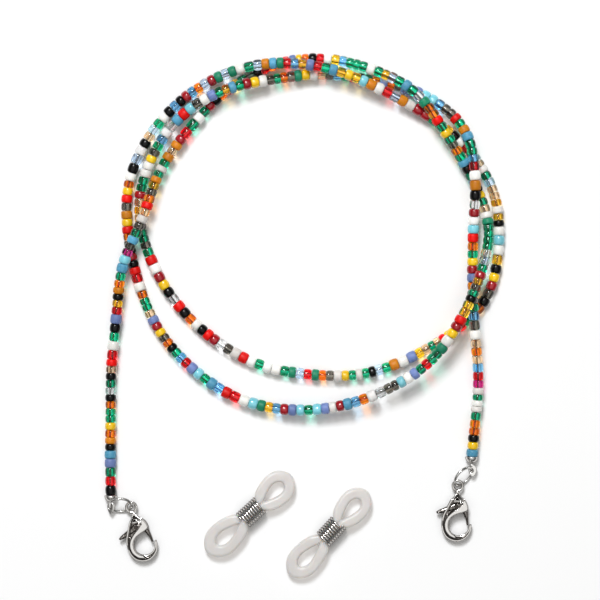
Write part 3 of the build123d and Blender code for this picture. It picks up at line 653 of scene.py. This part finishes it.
BASE_FACES = grid_faces(SIDES, PROFILE)
_t = np.linspace(0, 2 * np.pi, PROFILE, endpoint=False) + 0.07
_inner = (np.sin(_t) < -0.35) & (np.sin(np.roll(_t, -1)) < -0.35)
BASE_INDEX = _inner[BASE_FACES[:, 0] % PROFILE].astype(int)
FACE_SIDE = BASE_FACES[:, 0] // PROFILE
SIDE_DIR = np.array([[math.cos(2 * math.pi * (k + 0.5) / SIDES), math.sin(2 * math.pi * (k + 0.5) / SIDES), 0] for k in range(SIDES)])
# painted highlight: the strip of bore wall facing this fixed direction takes the light strip material
PAINTED_STREAK_SIDE = np.array([0.62, -0.25, 0.74])
PAINTED_STREAK_BORE = {k: painted_streak_glass("bore_" + GROUPS[k][0], tuple(PAINTED_STREAK_COLOUR[k])) for k in "ogrkbapcvm"}
STACK = {k: ([], [], [], []) for k in GROUPS}
stretch = (LENGTH - 1.56) / sum(PITCH)
s = 0.78
lowest_bead = 9.0
for i, (key, pitch) in enumerate(zip(ORDER, PITCH)):
    pitch = pitch * stretch
    mid = s + pitch / 2
    s += pitch
    p, t = on_line(mid)
    wob = math.sin(i * 12.9898 + 4.1) * 43758.5453
    wob -= math.floor(wob)
    od = min(GROUPS[key][1] + 0.16 * (wob - 0.5), 2.42)
    length = pitch - 0.03 - 0.05 * random.random()
    if key in "KWYRT":
        n = 2.05 + 0.45 * random.random()
    elif key in "FSPAGH":
        n = 2.45 + 0.8 * random.random()
    else:
        n = 2.3 + 0.8 * random.random()
    V = bead_mesh(od, length, n, 0.012 * random.uniform(-1, 1), key)
    # its own small tilt and spin on the thread
    tilt = Vector(t) + Vector((random.uniform(-1, 1), random.uniform(-1, 1), 0.3 * random.uniform(-1, 1))) * 0.035
    q = tilt.to_track_quat("Z", "Y")
    M = np.array(q.to_matrix()) @ np.array(Matrix.Rotation(random.uniform(0, 6.28), 3, "Z"))
    V = V @ M.T + p
    low = V[:, 2].min()
    if low < 0.02:
        V[:, 2] += 0.02 - low
    lowest_bead = min(lowest_bead, V[:, 2].min())
    vs, fs, tn, ix = STACK[key]
    # the painted highlight strip goes on the bore faces within a random 17 to 33 degrees of the side that most faces
    # the fixed direction
    dirs = SIDE_DIR @ M.T
    lit = dirs @ PAINTED_STREAK_SIDE
    painted_streak_sides = dirs @ dirs[int(np.argmax(lit))] > math.cos(math.radians(random.uniform(17, 33)))
    ix.append(BASE_INDEX * painted_streak_sides[FACE_SIDE])
    fs.append(BASE_FACES + sum(len(x) for x in vs))
    vs.append(V)
    tn.append(np.full(len(V), random.random()))
for key, (vs, fs, tn, ix) in STACK.items():
    node = GROUPS[key][0]
    ob = add_object("visual_" + node, np.vstack(vs) * MM, np.vstack(fs), MAT[key], tone=np.concatenate(tn), second=PAINTED_STREAK_BORE.get(key), index=np.concatenate(ix))
    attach(ob, "root")
    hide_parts(node)
print("lowest bead mm", round(lowest_bead, 3))

# ---------------------------------------------------------------- clasps
OUTER = [(-0.32, -1.20), (-0.62, -1.95), (-1.45, -2.90), (-2.30, -4.50), (-3.00, -5.90), (-3.30, -7.60), (-3.10, -9.10), (-2.45, -10.25), (-1.38, -10.95), (-0.15, -11.16), (1.07, -10.84), (2.14, -9.95), (2.68, -8.80), (2.76, -7.75)]
BOWL = [(0.2 + 2.05 * math.cos(a), -7.9 + 2.05 * math.sin(a)) for a in np.linspace(0, -math.pi, 25)]
INNER = [(-1.85, -7.9), (-1.72, -7.05), (-1.15, -6.25), (-0.20, -5.75), (1.35, -5.30), (2.10, -4.95)]
RIGHT = [(2.10, -4.95), (2.02, -3.95), (1.55, -2.90), (0.70, -2.05), (0.32, -1.20)]
outline = np.vstack([smooth_line(OUTER, 8), [(2.50, -7.68)], BOWL, smooth_line(INNER, 6)[1:], smooth_line(RIGHT, 6)[1:]])
S_LINE = smooth_line([(1.45, -3.35), (1.50, -4.15), (0.62, -4.93), (-0.50, -5.60), (-1.42, -6.34), (-1.98, -7.15), (-2.14, -8.0), (-1.98, -8.85), (-1.45, -9.65), (-0.65, -10.25)], 8)
POCKET = np.array([(-0.10, -2.35), (0.42, -3.00), (0.45, -3.90), (-0.55, -4.72), (-1.35, -5.30), (-1.95, -5.95), (-2.15, -5.40), (-1.62, -4.20), (-0.95, -3.10)])
SLOT = np.array([(-6.0, -2.6), (-2.0, -2.75), (-0.6, -2.85), (0.9, -2.95), (2.4, -3.4), (3.4, -5.0), (3.4, -7.2), (0.9, -7.2), (-0.4, -6.6), (-1.6, -6.1), (-2.4, -6.25), (-6.0, -6.6)])
LO, HI = (-4.6, -11.6), (3.6, 1.6)
F_OUT = Field2D(lambda x, y: poly_sdf(x, y, outline), LO, HI)


def band(x, y):
    d, t = seg_dist(x, y, S_LINE)
    width = np.interp(t, [0, 0.12, 0.25, 0.5, 0.75, 0.9, 1.0], [0.50, 0.70, 0.64, 0.58, 0.50, 0.38, 0.16])
    return d - width


F_BAND = Field2D(band, LO, HI)
F_POCKET = Field2D(lambda x, y: poly_sdf(x, y, POCKET), LO, HI)
F_SLOT = Field2D(lambda x, y: poly_sdf(x, y, SLOT), LO, HI)


def body_field(x, y, z):
    d = F_OUT(x, y)
    # a narrow flat rim, then a slope up towards the crest
    k = np.clip(-d / 0.10, 0, 1)
    ledge = np.interp(y, [-8.0, -6.9, -2.7, -1.7], [0.26, 0.66, 0.66, 0.26])
    dome = ledge + 0.16 * np.sqrt(np.clip(1 - (1 - k) ** 2, 0, 1)) + np.interp(y, [-8.0, -6.9, -2.7, -1.7], [0.62, 0.42, 0.42, 0.62]) * np.clip(-d - 0.26, 0, 1.0)
    edge = np.clip(-d / 0.30, 0, 1)
    top = 0.45 + 0.84 * np.sqrt(np.clip(1 - (1 - edge) ** 2, 0, 1))
    w = np.clip(0.5 - F_BAND(x, y) / 0.16, 0, 1)
    w = w * w * (3 - 2 * w)
    h_up = dome + (np.maximum(top, dome) - dome) * w
    h_dn = dome + 0.10 * w
    f = np.maximum(np.where(z > 0, z - h_up, -z - h_dn), d)
    slant = 0.889 * x - 0.457 * y - 1.117
    pocket = np.maximum(F_POCKET(x, y), 0.22 - 0.85 * slant - z)
    f = smax(f, -pocket, 0.10)
    slot = np.maximum(F_SLOT(x, y), np.abs(z - 0.05) - 0.55)
    f = smax(f, -slot, 0.05)
    r = np.hypot(x, y)
    eye = np.hypot(r - 0.98, z) - 0.27
    neck = np.maximum(np.hypot(x * 0.9, z) - 0.30, np.abs(y + 1.38) - 0.30)
    f = smin(f, neck, 0.12)
    return smin(f, eye, 0.06)


BODY_P, BODY_F = nets(body_field, (-3.5, -11.35, -1.35), (3.0, 1.35, 1.38), 0.058)
bx, by, bz = BODY_P.T
# painted reflections fixed to the clasp body: a bright rim along the outline, a bright crest along the S-band, a bright
# upper right, and darker streaks over the rest
rim = np.exp(-((F_OUT(bx, by) + 0.13) / 0.14) ** 4)
crest = np.clip(0.5 - F_BAND(bx, by) / 0.16, 0, 1) * (bz > 0.3)
painted_highlight_right = np.clip((bx + 0.15) / 0.5, 0, 1) * np.clip((by + 3.9) / 0.6, 0, 1) * 0.9
painted_reflection_streak = 0.24 + 0.16 * np.sin(9.0 * (0.45 * by + bx) + 1.2 * np.sin(3 * by))
BODY_PAINTED_REFLECTION = np.clip(np.maximum.reduce([crest, rim * (bz > -0.3), painted_highlight_right * (bz > 0.3), painted_reflection_streak]), 0, 1)
# painted highlight on the eye and neck: bright, swelling and fading three times around
BODY_PAINTED_REFLECTION = np.where(by > -1.35, 0.82 + 0.18 * np.sin(3 * np.arctan2(bx, by) + 1.0), BODY_PAINTED_REFLECTION)
LEVER = np.array([(-0.60, -3.45), (-2.20, -4.15), (-3.85, -4.85), (-4.35, -5.20), (-4.22, -5.58), (-3.60, -5.55), (-2.00, -5.20), (-0.50, -4.85), (0.45, -4.95), (1.15, -5.70), (1.62, -6.90), (1.72, -7.92), (2.12, -7.92), (2.14, -6.60), (1.95, -5.00), (1.30, -3.80), (0.40, -3.45)])
F_LEVER = Field2D(lambda x, y: poly_sdf(x, y, LEVER), (-4.8, -8.4), (2.7, -3.0))


def lever_field(x, y, z):
    d = F_LEVER(x, y)
    r = 0.44
    zz = z - 0.05
    q = np.abs(zz) - 0.50
    f = np.minimum(np.maximum(d + r, q + r), 0) + np.hypot(np.maximum(d + r, 0), np.maximum(q + r, 0)) - r
    hole = np.hypot(x + 0.35, y + 4.10) - 0.37
    # grip grooves across the thumb tab
    groove = np.hypot(((x + y * 0.3) + 5.18) % 0.34 - 0.17, zz - 0.56) - 0.10
    f = np.where(x < -3.1, smax(f, -groove, 0.05), f)
    return np.maximum(f, -hole)


LEVER_P, LEVER_F = nets(lever_field, (-4.5, -8.1, -0.6), (2.3, -3.3, 0.7), 0.05)
# painted reflection on the trigger: dark, with lighter diagonal streaks
LEVER_PAINTED_REFLECTION = 0.22 + 0.14 * np.sin(7.0 * LEVER_P[:, 0] + 3.0 * LEVER_P[:, 1])

CLASP = {"left": ((-34.748, -38.120, 1.35), 18.2), "right": ((30.616, -33.780, 1.35), 0.0)}
LOOP = {"left": (-38.833, -38.227, 1.35), "right": (33.397, -30.797, 1.35)}
CUP = {"left": (-38.833, -34.62 + DY, 1.30), "right": (33.397, -26.83 + DY, 1.30)}
RING = {"left": (1.5, 50.0, 22.0, 1.0), "right": (227.0, 55.0, 24.0, -1.0)}
for side, (eye, deg) in CLASP.items():
    ob = add_object("visual_clasp_body_" + side, place(BODY_P, eye, deg), BODY_F, CAST, tone=BODY_PAINTED_REFLECTION)
    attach(ob, "clasp_" + side)
    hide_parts("clasp_body_" + side)
    ob = add_object("visual_clasp_trigger_" + side, place(LEVER_P, eye, deg), LEVER_F, CAST, tone=LEVER_PAINTED_REFLECTION)
    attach(ob, "trigger_" + side)
    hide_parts("clasp_trigger_" + side)
    for n, m in (("trigger_pin_", CAST), ("trigger_spring_", SHEET), ("crimp_", SHEET)):
        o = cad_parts[n + side]
        o.data.materials.clear()
        o.data.materials.append(m)

    # jump ring: a round wire bent to a circle, cut at one place
    heading, tilt, low, upper = RING[side]
    a = np.array([math.cos(math.radians(heading)), math.sin(math.radians(heading)), 0])
    n3 = np.array([-a[1], a[0], 0]) * upper
    t = math.radians(tilt)
    b3 = n3 * math.cos(t) + np.array([0, 0, math.sin(t)])
    p = math.radians(low)
    R = 2.15
    pass_at = np.array(LOOP[side]) + a * (2 * R * math.cos(p))
    centre = pass_at - a * (R * math.cos(p)) + b3 * (R * math.sin(p))
    cut = math.radians(78 if side == "left" else 205)
    ang = np.linspace(cut + 0.020, cut + 2 * math.pi - 0.020, 96)
    P = centre + R * (np.cos(ang)[:, None] * a + np.sin(ang)[:, None] * b3)
    V, F = wire(P, 0.275, 18)
    ob = add_object("visual_jump_ring_" + side, V * MM, F, CHROME)
    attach(ob, "ring_" + side)
    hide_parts("jump_ring_" + side)

    # bead tip: a thin pressed cup, a neck and a leaf that closes on the ring
    tangent = a * math.sin(p) - b3 * math.cos(p)
    flat = np.array([tangent[0], 0, tangent[2]])
    flat /= np.linalg.norm(flat)
    if flat[2] < 0:
        flat = -flat
    across = np.cross(np.array([0, 1.0, 0]), flat)
    lc = np.array(LOOP[side]) - np.array(CUP[side])
    leaf_shift = 0.18 if side == "right" else 0.0

    def tip_field(x, y, z, lc=lc, flat=flat, across=across, shift=leaf_shift):
        rad = np.sqrt(x * x + y * y + z * z)
        shell = np.maximum(np.abs(rad - 1.20) - 0.11, y)
        lip = np.hypot(np.hypot(x, z) - 1.20, y + 0.03) - 0.10
        shell = smin(shell, lip, 0.08)
        dx, dy, dz = x - lc[0], y - lc[1], z - lc[2]
        u = dy
        v = dx * across[0] + dz * across[2]
        w_ = dx * flat[0] + dz * flat[2]
        # leaf outline: wide at the shoulder, closing to a round tip
        wide = 0.66 + 0.34 * np.clip((u + 0.9) / 1.6, 0, 1) - 0.25 * np.clip((u - 0.6) / 0.8, 0, 1)
        leaf2 = np.sqrt(((v - shift) / np.maximum(wide, 0.2)) ** 2 + (u / 1.19) ** 2) - 1
        leaf2 = leaf2 * 0.75
        bow = w_ + 0.16 * (v - shift) ** 2 - 0.05
        leaf = smax(leaf2, np.abs(bow) - 0.16, 0.12)
        hole = np.hypot(u, v) - 0.42
        leaf = smax(leaf, -hole, 0.10)
        top_of_leaf = lc[1] + 0.95
        neck = np.maximum(np.hypot(x / 1.25, (z - 0.02)) - 0.26, np.maximum(y + 1.10, top_of_leaf - y))
        return smin(smin(shell, neck, 0.12), leaf, 0.14)

    P, F = nets(tip_field, (-1.48, float(lc[1]) - 1.3, -1.27), (1.48, 0.12, 1.48), 0.046)
    ob = add_object("visual_bead_tip_" + side, (P + np.array(CUP[side])) * MM, F, SHEET)
    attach(ob, "root")
    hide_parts("bead_tip_" + side)


# ---------------------------------------------------------------- temple grips
HALF_OUTLINE = [(1.6, 1.10), (2.4, 1.30), (2.9, 1.56), (3.3, 1.98), (3.9, 2.42), (4.7, 2.80), (5.6, 3.08), (6.6, 3.26), (7.6, 3.34), (8.6, 3.24), (9.5, 2.92), (10.3, 2.34), (10.95, 1.56), (11.35, 0.78), (11.48, 0.0)]
HALF_HOLE = [(3.75, 0.0), (4.6, 0.36), (5.6, 0.76), (6.6, 1.06), (7.6, 1.18), (8.4, 0.98), (8.95, 0.52), (9.15, 0.0)]
TIP_AT = 11.48


def grip_fields(k):
    """Half of the flat outline of one loop and of its hole; k widens it."""
    up = smooth_line([(a, b_ * k) for a, b_ in HALF_OUTLINE], 6)
    outer = np.vstack([up, up[::-1][1:] * [1, -1]])
    hp = smooth_line([(a, b_ * k) for a, b_ in HALF_HOLE], 6)
    hole = np.vstack([hp, hp[::-1][1:-1] * [1, -1]])
    lo, hi = (1.2, -4.4), (12.6, 4.4)
    return Field2D(lambda x, y: poly_sdf(x, y, outer), lo, hi, 0.05), Field2D(lambda x, y: poly_sdf(x, y, hole), lo, hi, 0.05), 3.55


def make_grip(wr, along):
    """along: how far the coil sits to one side, so one loop is longer than the other."""
    FO, FH, apex = grip_fields(wr)
    k_right = (TIP_AT - 3.0) / (TIP_AT - (2.38 + along))
    k_left = (TIP_AT - 3.0) / (TIP_AT - (2.38 - along))
    droop = math.tan(math.radians(5.0))

    def f(x, y, z):
        ax = np.abs(x)
        drop = -droop * np.maximum(ax - 3.0, 0)
        zz = z - drop
        k = np.where(x > 0, k_right, k_left)
        u = TIP_AT - (TIP_AT - ax) * k
        do, dh = FO(np.maximum(u, 1.85), y), FH(np.maximum(u, 1.85), y)
        d = np.maximum(do, -dh)
        r = 0.62
        q = np.abs(zz) - 0.93
        g = np.minimum(np.maximum(d + r, q + r), 0) + np.hypot(np.maximum(d + r, 0), np.maximum(q + r, 0)) - r
        g = np.maximum(g, 2.35 - u)
        # where the two legs lie side by side there is a crease between them
        crease = np.hypot(y, np.abs(zz) - 1.02) - (0.30 * np.clip((apex + 0.9 - u) / 1.2, 0, 1) - 0.02)
        g = smax(g, -crease, 0.25)
        legs = np.minimum(np.hypot((np.abs(y) - 0.62) * 1.0, z / 1.28) - 0.70, 9)
        mid = np.maximum(legs, u - 3.3)
        mid = np.maximum(mid, np.hypot(y, z) - 1.50)
        return smin(g, mid, 0.22)

    return nets(f, (-11.7, -3.6, -1.85), (11.7, 3.6, 1.1), 0.11)


def helix_points(along, turns=8.5, pitch=0.56, r=1.80, phase=0.0):
    t = np.linspace(0, turns * 2 * math.pi, int(turns * 44))
    height = turns * pitch
    x = along - height / 2 + height * t / t[-1]
    return np.stack([x, r * np.sin(t + phase), r * np.cos(t + phase)], 1)


GRIPS = {"left": ((-11.13 + DX, -38.29 + DY, 2.03), 42.6, 0.60, 3.12), "right": ((4.73 + DX, -42.13 + DY, 2.03), 47.4, 0.65, 2.95)}
for side, (at_, deg, along, wr) in GRIPS.items():
    P, F = make_grip(1.0 if side == "left" else 0.96, along)
    print(side, "grip z", round(P[:, 2].min() + 2.03, 3), round(P[:, 2].max() + 2.03, 3))
    ob = add_object("visual_temple_grip_" + side, place(P, at_, deg), F, SILICONE)
    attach(ob, "grip_" + side)
    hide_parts("temple_grip_" + side)
    V, F = wire(helix_points(along, phase=0.4 if side == "left" else 2.6), 0.212, 14)
    # painted light on the coil wire: bright along its top, painted shade down its lower sides and on the inner faces
    # between turns
    coil_painted_light = np.clip((V[:, 2] + 0.55) / 1.25, 0, 1) * np.clip((np.hypot(V[:, 1], V[:, 2]) - 1.70) / 0.22, 0.12, 1)
    ob = add_object("visual_coil_slider_" + side, place(V, at_, deg), F, STEEL, tone=coil_painted_light)
    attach(ob, "coil_" + side)
    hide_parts("coil_slider_" + side)

# ---------------------------------------------------------------- floor and light
floor = bpy.data.meshes.new("floor")
floor.from_pydata([(-1.5, -1.5, 0), (1.5, -1.5, 0), (1.5, 1.5, 0), (-1.5, 1.5, 0)], [], [(0, 1, 2, 3)])
FLOOR, nt, b, out = new_material("floor_white")
nt.links.new(ramp(nt, noise(nt, 3, 2), [(0.3, (0.93, 0.93, 0.928, 1)), (0.7, (0.95, 0.95, 0.948, 1))]), b.inputs["Base Color"])
b.inputs["Roughness"].default_value = 0.9
b.inputs["Specular IOR Level"].default_value = 0.1
floor.materials.append(FLOOR)
floor_ob = bpy.data.objects.new("floor", floor)
scene.collection.objects.link(floor_ob)


def area(name, where, aim, size, power, colour=(1, 1, 1)):
    d = bpy.data.lights.new(name, "AREA")
    d.shape = "RECTANGLE"
    d.size, d.size_y = size
    d.energy = power
    d.color = colour
    o = bpy.data.objects.new(name, d)
    o.location = where
    v = Vector(aim) - Vector(where)
    o.rotation_euler = v.to_track_quat("-Z", "Y").to_euler()
    scene.collection.objects.link(o)
    return o


area("key", (-0.15, 0.55, 0.86), (0, 0, 0), (0.26, 0.26), 7.6, (0.99, 1.0, 1.02))
area("spark", (-0.10, 0.34, 0.98), (0, 0, 0), (0.07, 0.07), 0.9)
world = bpy.data.worlds.new("studio")
scene.world = world
world.use_nodes = True
wn = world.node_tree
wn.nodes.clear()
wo = wn.nodes.new("ShaderNodeOutputWorld")
bg = wn.nodes.new("ShaderNodeBackground")
tc = wn.nodes.new("ShaderNodeTexCoord")
sep = wn.nodes.new("ShaderNodeSeparateXYZ")
wn.links.new(tc.outputs["Generated"], sep.inputs[0])
rp = wn.nodes.new("ShaderNodeValToRGB")
els = rp.color_ramp.elements
while len(els) < 5:
    els.new(0.5)
for e, (pos, v) in zip(els, [(0.0, 0.06), (0.45, 0.10), (0.72, 0.24), (0.90, 0.80), (1.0, 0.84)]):
    e.position = pos
    e.color = (v * 1.01, v, v * 0.975, 1)
wn.links.new(sep.outputs["Z"], rp.inputs["Fac"])
wn.links.new(rp.outputs["Color"], bg.inputs["Color"])
bg.inputs["Strength"].default_value = 1.10
wn.links.new(bg.outputs[0], wo.inputs[0])
scene.view_settings.view_transform = "Standard"
scene.view_settings.look = "None"
scene.view_settings.exposure = 0.0
